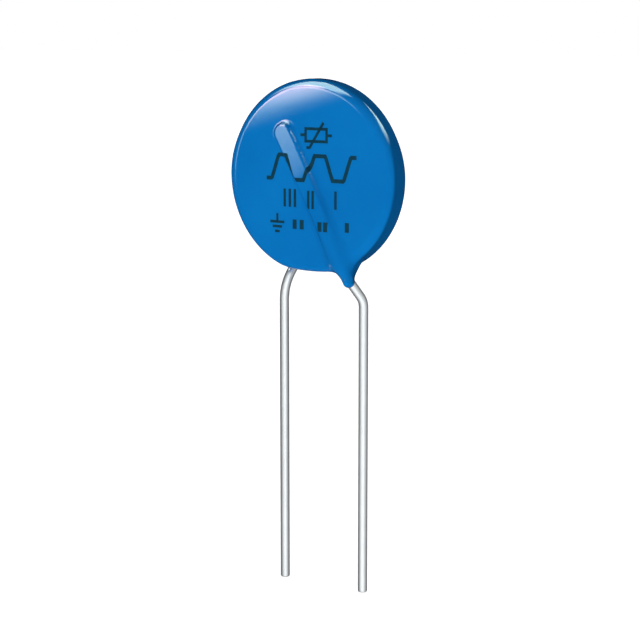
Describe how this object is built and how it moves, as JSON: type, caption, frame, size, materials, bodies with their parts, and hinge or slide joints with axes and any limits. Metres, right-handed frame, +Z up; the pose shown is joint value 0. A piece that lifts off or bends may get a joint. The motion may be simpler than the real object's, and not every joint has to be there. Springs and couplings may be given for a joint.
{
  "type": "disc varistor",
  "caption": "Round epoxy-dipped disc varistor with straight round wire leads, soldered across a supply on a circuit board to clamp surges.",
  "frame": {"origin": "midway between the two leads, at the height where both have become straight and vertical: the level of a circuit board's top when the part is seated", "axes": "+Z up from the board through the disc, leads down along -Z; the disc's faces look along -Y (front) and +Y (back); +X to the right seen from the front, along the line from the back lead to the front lead"},
  "size_m": [0.0204, 0.0048, 0.0544],
  "materials": {
    "coating": "glossy",
    "ceramic": "matt",
    "electrode": "matt fired silver",
    "solder": "satin",
    "lead": "bright tinned copper"
  },
  "bodies": {
    "root": {"coating": "coating", "ceramic_disc": "ceramic", "front_electrode": "electrode", "back_electrode": "electrode", "front_solder": "solder", "back_solder": "solder", "front_lead": "lead", "back_lead": "lead"}
  },
  "joints": []
}
